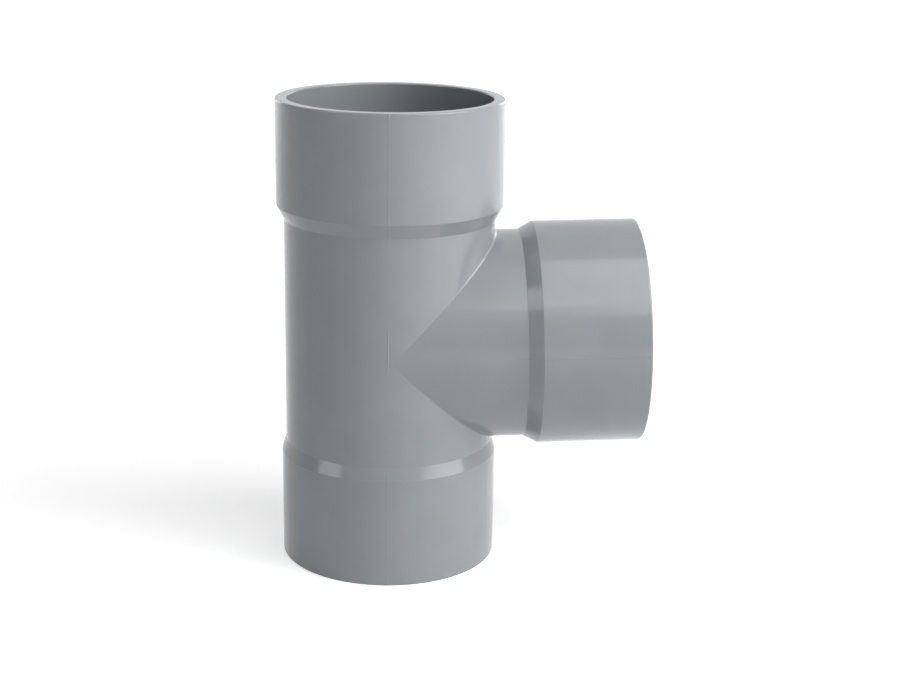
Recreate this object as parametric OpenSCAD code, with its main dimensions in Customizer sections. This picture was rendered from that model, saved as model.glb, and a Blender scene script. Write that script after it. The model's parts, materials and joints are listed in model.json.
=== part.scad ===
// Solvent-weld drainage tee: a one-piece moulding with three pipe sockets.
// The run stands along Z with the middle of its lower mouth at the origin.
// The branch leaves along +X and rises slightly, so that it drains into the run.

/* [Sockets] */
// Outside diameter of the pipe that the sockets take
pipe_d = 50; // [48.5:0.5:54]
// Play between the pipe and a socket, on the diameter
pipe_play = 0.2; // [0.1:0.05:0.4]
// Depth of a socket, from its mouth to the pipe stop
socket_depth = 27.4; // [24:0.2:32]
// Wall of the upper socket and of the branch socket
socket_wall = 2.9; // [2.4:0.1:4]
// How far before its pipe stop the cone of those two sockets starts
socket_lead = 1.4; // [0:0.1:2.5]
// Angle between that cone and the socket's axis
socket_taper = 28.5; // [20:0.5:40]
// Wall of the lower socket, which is slimmer than the other two
lower_wall = 2; // [1.8:0.1:3.5]
// How far before its pipe stop the cone of the lower socket starts
lower_lead = 0.2; // [0:0.1:1.5]
// Angle between that cone and the socket's axis
lower_taper = 17.4; // [12:0.2:40]

/* [Waterway] */
// Bore of the run between its two pipe stops
run_bore = 46; // [40:0.5:46.5]
// Wall of the body round the run
body_wall = 3.1; // [2.5:0.1:3.4]
// Wall of the neck that carries the branch socket, whose outside is as wide as the body
neck_wall = 3.3; // [2.5:0.1:3.6]

/* [Limbs] */
// Height of the branch axis above the lower mouth
run_below = 56.4; // [55:0.2:70]
// Height of the upper mouth above the branch axis
run_above = 60; // [58:0.2:75]
// Distance along the branch axis from the run axis to the branch mouth
branch_reach = 62.3; // [60:0.1:80]
// Angle between the upper half of the run and the branch
branch_angle = 88.5; // [85:0.5:90]

/* [Edges] */
// Radius on the outer edge of each mouth
mouth_round = 0.5; // [0.2:0.05:0.8]
// Radius on the inner edge of each mouth, which guides the pipe in
inner_round = 0.4; // [0.2:0.05:0.8]
// Radius where a socket turns into its cone
cone_round = 0.5; // [0.2:0.1:1.2]
// Radius where a cone runs into the body or the neck
cone_fillet = 0.5; // [0.2:0.1:1.5]
// Radius on the lip of each pipe stop
stop_round = 0.6; // [0.2:0.05:1]

/* [Hidden] */
$fn = 144;
plastic = [0.54, 0.56, 0.575];
socket_bore = pipe_d + pipe_play;
socket_r = socket_bore / 2 + socket_wall;
lower_r = socket_bore / 2 + lower_wall;
run_r = run_bore / 2;
body_r = run_r + body_wall;
branch_r = body_r - neck_wall;
run_length = run_below + run_above;
past_mouth = 1;
// How far a rounding piece reaches past the two sides of its corner
corner_margin = 0.2;
// How far each arc bulges past the sides that it meets, so that they cross at one clean point
arc_bulge = 0.0005;

// Unit vector from point a towards point b
function towards(a, b) = (b - a) / norm(b - a);

// Half the angle of the corner b between its neighbours a and c
function half_angle(a, b, c) = acos(towards(b, a) * towards(b, c)) / 2;

// Point on the corner's middle line that is the given distance from both of its sides
function between_sides(a, b, c, distance) =
    b + towards([0, 0], towards(b, a) + towards(b, c)) * distance / sin(half_angle(a, b, c));

// The small piece between a corner b and the arc of radius r that rounds it
module corner_piece(a, b, c, r) {
    centre = between_sides(a, b, c, r - arc_bulge);
    tip = between_sides(a, b, c, -corner_margin);
    side = (r + corner_margin) / tan(half_angle(a, b, c));
    difference() {
        polygon([tip, tip + towards(b, a) * side, centre, tip + towards(b, c) * side]);
        translate(centre) circle(r);
    }
}

// Outside of one limb, as a half section from its mouth at height zero down to -length
module limb_outside(length, outer_r, lead, taper) {
    cone_start = socket_depth - lead;
    cone_length = (outer_r - body_r) / tan(taper);
    axis_top = [0, 0];
    mouth = [outer_r, 0];
    land_end = [outer_r, -cone_start];
    cone_end = [body_r, -cone_start - cone_length];
    limb_end = [body_r, -length];
    difference() {
        polygon([axis_top, mouth, land_end, cone_end, limb_end, [0, -length]]);
        corner_piece(axis_top, mouth, land_end, mouth_round);
        corner_piece(mouth, land_end, cone_end, cone_round);
    }
    corner_piece(land_end, cone_end, limb_end, cone_fillet);
}

// Hollow of one limb: rounded mouth, socket bore, pipe stop and waterway
module limb_hollow(length, waterway_r) {
    bore_r = socket_bore / 2;
    on_rim = [bore_r + lower_wall, 0];
    inner_edge = [bore_r, 0];
    stop_outer = [bore_r, -socket_depth];
    stop_lip = [waterway_r, -socket_depth];
    limb_end = [waterway_r, -length];
    polygon([
        [0, past_mouth],
        [bore_r, past_mouth],
        stop_outer,
        stop_lip,
        limb_end,
        [0, -length]
    ]);
    corner_piece(on_rim, inner_edge, stop_outer, inner_round);
    corner_piece(stop_outer, stop_lip, limb_end, stop_round);
}

// Places a limb so that its mouth is at the given distance up the Z axis
module upper_limb() {
    translate([0, 0, run_length]) rotate_extrude() children();
}

// Turns a limb over, with its mouth at the origin
module lower_limb() {
    mirror([0, 0, 1]) rotate_extrude() children();
}

// Leans a limb out to +X from the point where the two axes cross
module branch_limb() {
    translate([0, 0, run_below])
        rotate([0, branch_angle, 0])
            translate([0, 0, branch_reach])
                rotate_extrude() children();
}

// The whole moulding: three limbs joined, then their hollows cut through
module tee() {
    color(plastic)
        difference() {
            union() {
                upper_limb() limb_outside(run_above, socket_r, socket_lead, socket_taper);
                lower_limb() limb_outside(run_below, lower_r, lower_lead, lower_taper);
                branch_limb() limb_outside(branch_reach, socket_r, socket_lead, socket_taper);
            }
            upper_limb() limb_hollow(run_above, run_r);
            lower_limb() limb_hollow(run_below, run_r);
            branch_limb() limb_hollow(branch_reach, branch_r);
        }
}

tee();
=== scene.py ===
"""Looks of a grey plastic drainage tee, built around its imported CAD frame. Sizes are in metres."""

import json
import math

import bpy
from mathutils import Matrix, Vector


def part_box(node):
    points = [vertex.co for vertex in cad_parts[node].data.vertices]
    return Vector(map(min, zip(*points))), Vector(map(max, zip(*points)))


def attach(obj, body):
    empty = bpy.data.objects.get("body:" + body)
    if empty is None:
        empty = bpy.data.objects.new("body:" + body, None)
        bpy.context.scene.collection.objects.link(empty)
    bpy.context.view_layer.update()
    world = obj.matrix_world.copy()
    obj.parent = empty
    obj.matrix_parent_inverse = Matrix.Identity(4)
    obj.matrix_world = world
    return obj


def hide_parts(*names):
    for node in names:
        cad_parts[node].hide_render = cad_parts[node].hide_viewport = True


MM = 0.001
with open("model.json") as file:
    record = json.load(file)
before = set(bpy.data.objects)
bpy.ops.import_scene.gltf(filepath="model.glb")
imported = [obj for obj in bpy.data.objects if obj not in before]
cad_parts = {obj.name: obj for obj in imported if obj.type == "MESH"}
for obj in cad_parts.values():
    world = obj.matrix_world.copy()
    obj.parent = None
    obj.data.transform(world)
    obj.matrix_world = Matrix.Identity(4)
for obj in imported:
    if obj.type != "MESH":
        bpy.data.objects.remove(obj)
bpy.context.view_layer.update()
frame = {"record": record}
MOUNTS = {mount["name"]: mount for mount in frame["record"]["mounts"]}
LOW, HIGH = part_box("tee")

# Sizes that the frame gives
SOCKET_R = -LOW.x
BORE_R = MOUNTS["upper_socket"]["dims"]["r_mm"] * MM
BORE_LENGTH = MOUNTS["upper_socket"]["dims"]["length_mm"] * MM
INNER_ROUND = HIGH.z - MOUNTS["upper_socket"]["pos_m"][2] - BORE_LENGTH / 2
SOCKET_DEPTH = INNER_ROUND + BORE_LENGTH
BRANCH_AXIS = Vector(MOUNTS["branch_socket"]["axis"])
BRANCH_MIDDLE = Vector(MOUNTS["branch_socket"]["pos_m"])
CROSSING = BRANCH_MIDDLE - BRANCH_AXIS * (BRANCH_MIDDLE.x / BRANCH_AXIS.x)
BRANCH_REACH = (BRANCH_MIDDLE - CROSSING).length + BORE_LENGTH / 2 + INNER_ROUND

# Sizes of the moulding that the frame doesn't give, as the CAD source has them
BODY_R = 26.1 * MM
RUN_R = 23 * MM
BRANCH_R = 22.8 * MM
LOWER_R = 27.1 * MM
SOCKET_LEAD = 1.4 * MM
SOCKET_TAPER = math.radians(28.5)
LOWER_LEAD = 0.2 * MM
LOWER_TAPER = math.radians(17.4)
MOUTH_ROUND = 0.5 * MM
CONE_ROUND = 0.5 * MM
CONE_FILLET = 0.5 * MM
STOP_ROUND = 0.6 * MM

# Finer than the CAD model: the fillet along the crease, and how smoothly the mesh turns
CREASE_FILLET = 0.6 * MM
CREASE_STEPS = 8
COLUMNS = 192
ARC_STEP = math.radians(7)
# How far apart two rings along a profile are at least
CLEAR = 0.001 * MM
# Cosines above which a direction counts as along an axis, and up to which it counts as square to it
ALONG_COSINE = 0.999
SQUARE_COSINE = 1e-9

# The mould line, a fine ridge along the front and the back of the run and of the branch: half of its width
SEAM_HALF_WIDTH = 0.32 * MM
# Its height just above the crossing, where it is plainest, then on the body, the cones and the sockets
# and at the mouths
SEAM_MIDDLE = 0.1 * MM
SEAM_BODY = 0.004 * MM
SEAM_CONE = 0.045 * MM
SEAM_SOCKET = 0.028 * MM
SEAM_MOUTH = 0.08 * MM
# How far above the crossing it is plain, and how soon its height changes
SEAM_PLAIN_TOP = 7 * MM
SEAM_FADE = 2 * MM
# How steep its sides are, as a share of its height over half of its width
SEAM_STEEPNESS = 1.5
# How many columns its crest lies from the middle of the front or of the back
CREST_COLUMNS = 3

# The photograph's camera
CAMERA_PLACE = Vector((-8.444, -410.893, 173.403)) * MM
CAMERA_PITCH = math.radians(-15.954)
CAMERA_YAW = math.radians(3.309)
CAMERA_ROLL = math.radians(0.860)
CAMERA_LENS = 67.83
SENSOR_WIDTH = 36

FLOOR_HALF_SIZE = 8


class Limb:
    """One of the three tubes that meet at the crossing.

    It has an axis, and the two directions across the axis that its angle turns between.
    """

    def __init__(self, axis, zero, quarter):
        self.axis, self.zero, self.quarter = axis, zero, quarter

    def radial(self, angle):
        return self.zero * math.cos(angle) + self.quarter * math.sin(angle)

    def place(self, radius, height, angle):
        """The point at that radius and angle round the axis, at that height out from the crossing."""
        return CROSSING + self.axis * height + self.radial(angle) * radius

    def turn(self, normal, angle):
        """A profile's normal, given as (radial, axial), turned to that angle."""
        return self.radial(angle) * normal[0] + self.axis * normal[1]

    def height(self, place):
        """How far out from the crossing a point lies, along the axis."""
        return (place - CROSSING).dot(self.axis)

    def seam(self, count):
        """For each column, its share of the mould line's height, and the side of the line it lies on."""
        columns = [(0, 0)] * count
        quarter = count // 4
        turn = -CREST_COLUMNS if self is BRANCH else CREST_COLUMNS
        for crest in (quarter + turn, 3 * quarter - turn):
            columns[crest - 1:crest + 2] = [(0.5, -1), (1, 0), (0.5, 1)]
        return columns


X, Y, Z = Vector((1, 0, 0)), Vector((0, 1, 0)), Vector((0, 0, 1))
UPPER = Limb(Z, X, Y)
LOWER = Limb(-Z, X, Y)
BRANCH = Limb(BRANCH_AXIS, Vector((-BRANCH_AXIS.z, 0, BRANCH_AXIS.x)), Y)


class Skin:
    """The points, faces and corner normals of a mesh, gathered strip by strip."""

    def __init__(self):
        self.points, self.faces, self.normals = [], [], []

    def add(self, place):
        self.points.append(place)
        return len(self.points) - 1

    def ring(self, limb, radius, height, angles, rise=0):
        """A ring of points round a limb, with the mould line that much higher than the rest."""
        return [
            self.add(limb.place(radius + rise * share, height, angle))
            for angle, (share, side) in zip(angles, limb.seam(len(angles)))
        ]

    def face(self, corners):
        """Adds a face from (point number, normal) pairs, wound to face the way its normals do.

        A point that follows itself is taken once, and a face with fewer than three points is left out.
        """
        kept = [c for i, c in enumerate(corners) if c[0] != corners[i - 1][0]]
        if len(kept) < 3:
            return
        ends = [self.points[number] for number, normal in kept]
        flat = (ends[1] - ends[0]).cross(ends[2] - ends[0]) + (ends[2] - ends[0]).cross(ends[-1] - ends[0])
        if flat.dot(sum((normal for number, normal in kept), Vector())) < 0:
            kept.reverse()
        self.faces.append([number for number, normal in kept])
        self.normals.extend(normal for number, normal in kept)

    def strip(self, first, second, first_normals, second_normals):
        """Joins two rings of points, column by column."""
        for i in range(len(first)):
            j = (i + 1) % len(first)
            self.face([
                (first[i], first_normals[i]), (first[j], first_normals[j]),
                (second[j], second_normals[j]), (second[i], second_normals[i]),
            ])

    def lathe(self, limb, start, pieces, angles, rises=()):
        """Turns a profile's pieces round a limb's axis, from the ring start, and returns the last ring.

        The mould line has the heights that rises gives, as (height up the limb, rise) pairs.
        """
        for piece in pieces:
            for (near_point, near_normal), (far_point, far_normal) in zip(piece, piece[1:]):
                low, high = near_point.y, far_point.y
                between = [height for height, rise in rises if low + CLEAR < height < high - CLEAR]
                place, normal = near_point, near_normal
                for share in [(height - low) / (high - low) for height in between] + [1]:
                    next_place = near_point.lerp(far_point, share)
                    next_normal = near_normal.lerp(far_normal, share)
                    rise = rise_at(rises, next_place.y)
                    end = self.ring(limb, next_place[0], next_place[1], angles, rise)
                    self.strip(
                        start, end,
                        ring_normals(limb, normal, angles, rise_at(rises, place.y)),
                        ring_normals(limb, next_normal, angles, rise),
                    )
                    start, place, normal = end, next_place, next_normal
        return start

    def mesh(self, name):
        mesh = bpy.data.meshes.new(name)
        mesh.from_pydata(self.points, [], self.faces)
        mesh.polygons.foreach_set("use_smooth", [True] * len(mesh.polygons))
        mesh.normals_split_custom_set(self.normals)
        mesh.update()
        return mesh


def ring_normals(limb, normal, angles, rise=0):
    """A profile's normal turned to each column, and leaning away from the mould line on its sides."""
    lean = SEAM_STEEPNESS * rise / SEAM_HALF_WIDTH
    return [limb.turn(normal, a + lean * side) for a, (share, side) in zip(angles, limb.seam(len(angles)))]


def seam_rises(limb, reach, foot):
    """The mould line's height from the crossing to a limb's mouth, as (height up the limb, rise) pairs."""
    plain_top = SEAM_PLAIN_TOP if limb is UPPER else 0
    if limb is BRANCH:
        body = [(0, 0), (foot - SEAM_FADE, 0)]
    else:
        body = [
            (0, SEAM_MIDDLE), (plain_top, SEAM_MIDDLE),
            (plain_top + SEAM_FADE, SEAM_BODY), (foot - SEAM_FADE, SEAM_BODY),
        ]
    socket = reach - SOCKET_DEPTH + SEAM_FADE
    return body + [
        (foot, SEAM_CONE), (socket, SEAM_CONE), (socket + SEAM_FADE, SEAM_SOCKET),
        (reach - SEAM_FADE, SEAM_SOCKET), (reach - MOUTH_ROUND, SEAM_MOUTH), (reach, SEAM_MOUTH),
    ]


def rise_at(rises, height):
    """The mould line's height at a place along a limb, between the pairs that seam_rises gives."""
    for (low, low_rise), (high, high_rise) in zip(rises, rises[1:]):
        if low <= height <= high and low < high:
            return low_rise + (high_rise - low_rise) * (height - low) / (high - low)
    return 0


def outer_angles():
    """The columns of the outer skin: even ones, and four more across each place that a mould line can take.

    Those places are one even column to either side of the middle of the front and of the back.
    """
    spacing = 2 * math.pi / COLUMNS
    half_width = SEAM_HALF_WIDTH / BODY_R
    return sorted([spacing * i for i in range(COLUMNS)] + [
        middle + turn + across * half_width
        for middle in (math.pi / 2, 3 * math.pi / 2)
        for turn in (-spacing, spacing)
        for across in (-1, -0.5, 0.5, 1)
    ])


def rounded(corners):
    """A profile's straight and round pieces, each a list of (point, normal) pairs.

    It is given as (radius, height, rounding) corners. The plastic lies on the left of the way along
    them, so that the normals point to the right.
    """
    points = [Vector(corner[:2]) for corner in corners]
    ways = [(b - a).normalized() for a, b in zip(points, points[1:])]
    normals = [Vector((way.y, -way.x)) for way in ways]
    pieces, start = [], points[0]
    for i, way in enumerate(ways):
        last = i == len(ways) - 1
        turn = 0 if last else math.atan2(way.cross(ways[i + 1]), way.dot(ways[i + 1]))
        rounding = corners[i + 1][2]
        end = points[i + 1] - way * (rounding * math.tan(abs(turn) / 2))
        pieces.append([(start, normals[i]), (end, normals[i])])
        start = end
        if rounding and not last:
            side = math.copysign(1, turn)
            centre = end - normals[i] * rounding * side
            steps = max(2, math.ceil(abs(turn) / ARC_STEP))
            arc = []
            for step in range(steps + 1):
                normal = Matrix.Rotation(turn * step / steps, 2) @ normals[i]
                arc.append((centre + normal * rounding * side, normal))
            pieces.append(arc)
            start = arc[-1][0]
    return pieces


def limb_profile(reach, socket_r, lead, taper, waterway_r):
    """The profile of one limb from the foot of its cone, over the mouth and down to the waterway."""
    cone_top = reach - SOCKET_DEPTH + lead
    cone_foot = cone_top - (socket_r - BODY_R) / math.tan(taper)
    foot = cone_foot - CONE_FILLET
    stop = reach - SOCKET_DEPTH
    return rounded([
        (BODY_R, foot, 0),
        (BODY_R, cone_foot, CONE_FILLET),
        (socket_r, cone_top, CONE_ROUND),
        (socket_r, reach, MOUTH_ROUND),
        (BORE_R, reach, INNER_ROUND),
        (BORE_R, stop, 0),
        (waterway_r, stop, STOP_ROUND),
        (waterway_r, stop - STOP_ROUND * 2, 0),
    ])


def crease_height(limb, cosine):
    """How far out from the crossing the crease's fillet meets that limb, on the column with that cosine."""
    between = BRANCH_AXIS.angle(limb.axis)
    return (BODY_R + CREASE_FILLET) * cosine / math.tan(between / 2)


def outer_junction(skin, angles):
    """The filleted crease between the run and the branch.

    Returns the rings that the three limbs start from.
    """
    quarter = len(angles) // 4
    rings = {}
    for limb in (UPPER, LOWER):
        rings[limb] = [
            skin.add(limb.place(BODY_R, crease_height(limb, cosine), a)) if cosine > SQUARE_COSINE else None
            for a, cosine in zip(angles, map(math.cos, angles))
        ]
    seam = UPPER.seam(len(angles))
    middle = {
        i: skin.add(UPPER.place(BODY_R + SEAM_MIDDLE * seam[i][0], 0, angles[i]))
        for i in range(quarter, 3 * quarter + 1)
    }
    for limb in (UPPER, LOWER):
        rings[limb] = [middle[i] if number is None else number for i, number in enumerate(rings[limb])]
    start, start_normals, centres = [], [], []
    for i, angle in enumerate(angles):
        above = math.cos(angle) > 0
        limb = UPPER if above else LOWER
        on_run = angle if above else math.pi - angle
        column = i if above else (2 * quarter - i) % len(angles)
        start.append(rings[limb][column])
        start_normals.append(limb.radial(on_run))
        height = crease_height(limb, abs(math.cos(angle)))
        centres.append(limb.place(BODY_R + CREASE_FILLET, height, on_run))
    end_normals = [BRANCH.radial(a) for a in angles]
    before = start_normals
    for step in range(1, CREASE_STEPS + 1):
        ring, normals = [], []
        for i in range(len(angles)):
            normal = start_normals[i].slerp(end_normals[i], step / CREASE_STEPS)
            apex = i in (quarter, 3 * quarter)
            ring.append(start[i] if apex else skin.add(centres[i] - normal * CREASE_FILLET))
            normals.append(normal)
        skin.strip(start, ring, before, normals)
        start, before = ring, normals
    rings[BRANCH] = start
    return rings


def limb_root(skin, limb, start, foot, rises, angles):
    """The outside of a limb from the crossing up to the foot of its cone. Returns the ring at the foot."""
    starts = [limb.height(skin.points[number]) for number in start]
    columns = limb.seam(len(angles))
    outward = (1, 0)
    before, before_rise = start, rises[0][1]
    for height, rise in rises:
        if not 0 < height <= foot:
            continue
        ring = [
            skin.add(limb.place(BODY_R + rise * share, low + (foot - low) * height / foot, angle))
            for low, angle, (share, side) in zip(starts, angles, columns)
        ]
        skin.strip(
            before, ring,
            ring_normals(limb, outward, angles, before_rise), ring_normals(limb, outward, angles, rise),
        )
        before, before_rise = ring, rise
    return before


def inner_junction(skin, branch_angles):
    """The edge where the two bores meet.

    Returns the rings that the three waterways end on, and the run's own angles.
    """
    half = len(branch_angles) // 2
    quarter = half // 2
    tilt = math.asin(BRANCH_AXIS.z)

    def across(angle):
        return math.asin(BRANCH_R * math.sin(angle) / RUN_R)

    run_angles = [across(a) for a in branch_angles[:quarter + 1]]
    widest = run_angles[-1]
    behind = [widest + (2 * math.pi - 2 * widest) * i / half for i in range(1, half)]
    run_angles += behind + [across(a) for a in branch_angles[-quarter:]]

    def edge(angle, sign):
        out = RUN_R * math.cos(across(angle))
        height = (sign * BRANCH_R * math.cos(angle) + out * math.sin(tilt)) / math.cos(tilt)
        return UPPER.place(RUN_R, height, across(angle))

    columns = [i for i in range(len(run_angles)) if i <= quarter or i >= len(run_angles) - quarter]
    rings = {UPPER: [], LOWER: []}
    for i, angle in enumerate(run_angles):
        on_edge = i in columns
        at_end = i in (quarter, len(run_angles) - quarter)
        if on_edge and not at_end:
            rings[UPPER].append(skin.add(edge(branch_angles[i], 1)))
            rings[LOWER].append(skin.add(edge(branch_angles[i], -1)))
        else:
            place = edge(branch_angles[i], 1) if at_end else UPPER.place(RUN_R, 0, angle)
            rings[UPPER].append(skin.add(place))
            rings[LOWER].append(rings[UPPER][-1])
    rings[BRANCH] = [
        rings[UPPER][i] if math.cos(a) > 0 else rings[LOWER][(half - i) % len(branch_angles)]
        for i, a in enumerate(branch_angles)
    ]
    return rings, run_angles


def tee_mesh():
    """The whole moulding as one closed skin."""
    skin = Skin()
    angles = outer_angles()
    outer = outer_junction(skin, angles)
    inner, run_angles = inner_junction(skin, angles)
    limbs = (
        (UPPER, HIGH.z - CROSSING.z, SOCKET_R, SOCKET_LEAD, SOCKET_TAPER, RUN_R),
        (LOWER, CROSSING.z, LOWER_R, LOWER_LEAD, LOWER_TAPER, RUN_R),
        (BRANCH, BRANCH_REACH, SOCKET_R, SOCKET_LEAD, SOCKET_TAPER, BRANCH_R),
    )
    for limb, reach, socket_r, lead, taper, waterway_r in limbs:
        pieces = limb_profile(reach, socket_r, lead, taper, waterway_r)
        inner_angles = angles if limb is BRANCH else run_angles
        rim = next(i for i, piece in enumerate(pieces) if piece[0][1].y > ALONG_COSINE)
        foot = pieces[0][0][0].y
        rises = seam_rises(limb, reach, foot)
        root = limb_root(skin, limb, outer[limb], foot, rises, angles)
        edge = skin.lathe(limb, root, pieces[:rim], angles, rises)
        flat = [limb.axis] * len(angles)
        rim_end = pieces[rim][-1][0]
        inside = skin.ring(limb, rim_end[0], rim_end[1], inner_angles)
        skin.strip(edge, inside, flat, flat)
        lip = skin.lathe(limb, inside, pieces[rim + 1:], inner_angles)
        inward = [-limb.radial(a) for a in inner_angles]
        skin.strip(lip, inner[limb], inward, inward)
    return skin.mesh("tee_moulding")


class Nodes:
    """A material's node tree, with short ways to add and link nodes."""

    def __init__(self, tree):
        self.tree = tree
        tree.nodes.clear()

    def add(self, kind, **values):
        """A new node. A value is a setting where the node has one of that name, and else an input."""
        node = self.tree.nodes.new(kind)
        for name, value in values.items():
            if hasattr(node, name):
                setattr(node, name, value)
            else:
                self.feed(node.inputs[name.replace("_", " ")], value)
        return node

    def feed(self, socket, value):
        if isinstance(value, bpy.types.NodeSocket):
            self.tree.links.new(value, socket)
        else:
            socket.default_value = value

    def noise(self, place, scale, detail=2):
        node = self.add("ShaderNodeTexNoise", Vector=place, Scale=scale, Detail=detail)
        return node.outputs["Fac"]

    def spread(self, value, low, high):
        """That value, which varies about 0.5, spread over the range from low to high."""
        node = self.add(
            "ShaderNodeMapRange", Value=value, From_Min=0.3, From_Max=0.7, To_Min=low, To_Max=high,
        )
        return node.outputs["Result"]

    def shown_directly(self):
        """1 for the rays that the camera sees by, also by reflection or through glass, and else 0."""
        path = self.add("ShaderNodeLightPath")
        glossy = self.add("ShaderNodeMath", operation="MAXIMUM")
        self.feed(glossy.inputs[0], path.outputs["Is Camera Ray"])
        self.feed(glossy.inputs[1], path.outputs["Is Glossy Ray"])
        clear = self.add("ShaderNodeMath", operation="MAXIMUM")
        self.feed(clear.inputs[0], glossy.outputs[0])
        self.feed(clear.inputs[1], path.outputs["Is Transmission Ray"])
        return clear.outputs[0]


def new_material(name):
    material = bpy.data.materials.new(name)
    material.use_nodes = True
    return material, Nodes(material.node_tree)


def grey_pvc():
    """Smooth moulded PVC: a satin grey, with the faint mottle and waviness of a moulding."""
    material, nodes = new_material("grey_pvc")
    place = nodes.add("ShaderNodeTexCoord").outputs["Object"]
    mottle = nodes.noise(place, 90)
    grain = nodes.noise(place, 1500, 3)
    across = nodes.add("ShaderNodeSeparateXYZ", Vector=place).outputs["X"]
    on_branch = nodes.add("ShaderNodeMapRange", Value=across, From_Min=RUN_R, From_Max=SOCKET_R)
    wave = nodes.add("ShaderNodeMix", data_type="FLOAT")
    nodes.feed(wave.inputs["Factor"], on_branch.outputs["Result"])
    for side, stretch in (("A", (1, 1, 0.2)), ("B", (0.2, 1, 1))):
        stretched = nodes.add("ShaderNodeMapping", Vector=place, Scale=stretch).outputs[0]
        nodes.feed(wave.inputs[side], nodes.noise(stretched, 110, 1))
    colour = nodes.add("ShaderNodeMix", data_type="RGBA")
    nodes.feed(colour.inputs["Factor"], nodes.spread(mottle, 0, 1))
    nodes.feed(colour.inputs["A"], (0.262, 0.283, 0.299, 1))
    nodes.feed(colour.inputs["B"], (0.278, 0.3, 0.317, 1))
    waves = nodes.add("ShaderNodeBump", Strength=0.12, Distance=0.3 * MM, Height=wave.outputs["Result"])
    grains = nodes.add(
        "ShaderNodeBump", Strength=0.1, Distance=0.02 * MM, Height=grain, Normal=waves.outputs[0],
    )
    shader = nodes.add(
        "ShaderNodeBsdfPrincipled",
        Base_Color=colour.outputs["Result"], Roughness=nodes.spread(grain, 0.14, 0.18), IOR=1.53,
        Normal=grains.outputs[0],
    )
    output = nodes.add("ShaderNodeOutputMaterial")
    nodes.feed(output.inputs["Surface"], shader.outputs[0])
    return material


def floor_material():
    """A white table, which shows as white wherever the object's shadow doesn't fall.

    It glows more where it is far from the object and the lamps no longer reach.
    """
    material, nodes = new_material("white_table")
    place = nodes.add("ShaderNodeTexCoord").outputs["Object"]
    roughness = nodes.spread(nodes.noise(place, 300), 0.6, 0.8)
    matt = nodes.add("ShaderNodeBsdfPrincipled", Base_Color=(0.8, 0.8, 0.8, 1), Roughness=roughness)
    distance = nodes.add("ShaderNodeVectorMath", operation="LENGTH")
    nodes.feed(distance.inputs[0], place)
    strength = nodes.add(
        "ShaderNodeMapRange", Value=distance.outputs["Value"],
        From_Min=0.15, From_Max=1, To_Min=0.6, To_Max=1,
    )
    glow = nodes.add("ShaderNodeEmission", Color=(1, 1, 1, 1), Strength=strength.outputs["Result"])
    both = nodes.add("ShaderNodeAddShader")
    nodes.feed(both.inputs[0], matt.outputs[0])
    nodes.feed(both.inputs[1], glow.outputs[0])
    mix = nodes.add("ShaderNodeMixShader")
    nodes.feed(mix.inputs[0], nodes.shown_directly())
    nodes.feed(mix.inputs[1], matt.outputs[0])
    nodes.feed(mix.inputs[2], both.outputs[0])
    output = nodes.add("ShaderNodeOutputMaterial")
    nodes.feed(output.inputs["Surface"], mix.outputs[0])
    return material


def studio_world(ambient):
    """White wherever it is seen, and a dimmer light on the object."""
    world = bpy.data.worlds.new("studio")
    bpy.context.scene.world = world
    world.use_nodes = True
    nodes = Nodes(world.node_tree)
    strength = nodes.add("ShaderNodeMapRange", Value=nodes.shown_directly(), To_Min=ambient, To_Max=1)
    light = nodes.add("ShaderNodeBackground", Color=(1, 1, 1, 1), Strength=strength.outputs["Result"])
    output = nodes.add("ShaderNodeOutputWorld")
    nodes.feed(output.inputs["Surface"], light.outputs[0])


def lamp(name, width, height, radiance):
    """A rectangular lamp that the camera doesn't see. At radiance 1 its face is as bright as white."""
    data = bpy.data.lights.new(name, "AREA")
    data.shape = "RECTANGLE"
    data.size, data.size_y = width, height
    data.energy = radiance * math.pi * width * height
    box = bpy.data.objects.new(name, data)
    box.visible_camera = False
    bpy.context.scene.collection.objects.link(box)
    return box


def softbox(name, azimuth, elevation, distance, width, height, radiance):
    """A soft lamp that faces the object. Azimuth is measured from the front, -Y, towards +X."""
    turn, rise = math.radians(azimuth), math.radians(elevation)
    way = Vector((math.sin(turn) * math.cos(rise), -math.cos(turn) * math.cos(rise), math.sin(rise)))
    box = lamp(name, width, height, radiance)
    box.location = Vector((0, 0, HIGH.z / 2)) + way * distance
    box.rotation_euler = way.to_track_quat("Z", "Y").to_euler()


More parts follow.
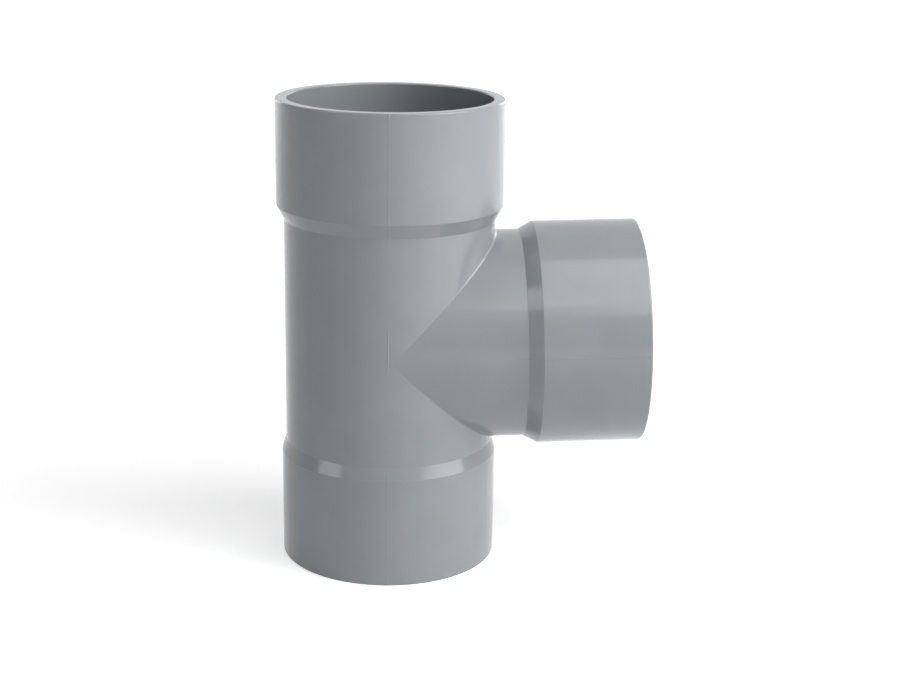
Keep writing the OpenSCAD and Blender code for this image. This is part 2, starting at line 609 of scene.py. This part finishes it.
def ceiling_panel(name, place, width, depth, radiance):
    """A soft lamp that hangs level over the table and shines straight down."""
    lamp(name, width, depth, radiance).location = place


def photo_camera():
    data = bpy.data.cameras.new("photo_camera")
    data.lens = CAMERA_LENS
    data.sensor_width = SENSOR_WIDTH
    data.clip_start = 0.01
    camera = bpy.data.objects.new("photo_camera", data)
    turn = (
        Matrix.Rotation(-CAMERA_YAW, 4, "Z")
        @ Matrix.Rotation(math.pi / 2 + CAMERA_PITCH, 4, "X")
        @ Matrix.Rotation(CAMERA_ROLL, 4, "Z")
    )
    camera.matrix_world = Matrix.Translation(CAMERA_PLACE) @ turn
    bpy.context.scene.collection.objects.link(camera)
    bpy.context.scene.camera = camera


def white_floor():
    half = FLOOR_HALF_SIZE
    corners = [(-half, -half, 0), (half, -half, 0), (half, half, 0), (-half, half, 0)]
    mesh = bpy.data.meshes.new("white_floor")
    mesh.from_pydata(corners, [], [(0, 1, 2, 3)])
    floor = bpy.data.objects.new("white_floor", mesh)
    floor.location.z = LOW.z
    mesh.materials.append(floor_material())
    bpy.context.scene.collection.objects.link(floor)


moulding = bpy.data.objects.new("tee_moulding", tee_mesh())
moulding.data.materials.append(grey_pvc())
bpy.context.scene.collection.objects.link(moulding)
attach(moulding, "root")
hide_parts("tee")

bpy.context.scene.view_settings.view_transform = "Standard"
photo_camera()
white_floor()
studio_world(0.06)

# Softboxes have azimuth and elevation in degrees, distance, width, height and radiance
softbox("key", 68, 36, 0.75, 0.45, 0.62, 4.3)
ceiling_panel("panel", (0.335, -0.31, 0.56), 0.53, 0.62, 2.3)
ceiling_panel("panel_front", (0.39, -0.74, 0.56), 0.48, 0.24, 2.2)
softbox("band", 9, 38, 0.75, 0.12, 0.3, 0.4)
softbox("glint_right", 58, 6, 0.75, 0.7, 0.1, 4)
softbox("glint_left", -66, 7, 0.75, 0.36, 0.09, 2.7)
softbox("glint_branch", -63, 35, 0.75, 0.19, 0.22, 2.4)
softbox("back_right", 148, 12, 0.9, 0.36, 0.4, 1.8)
softbox("back_left", -148, 12, 0.9, 0.36, 0.4, 1.5)
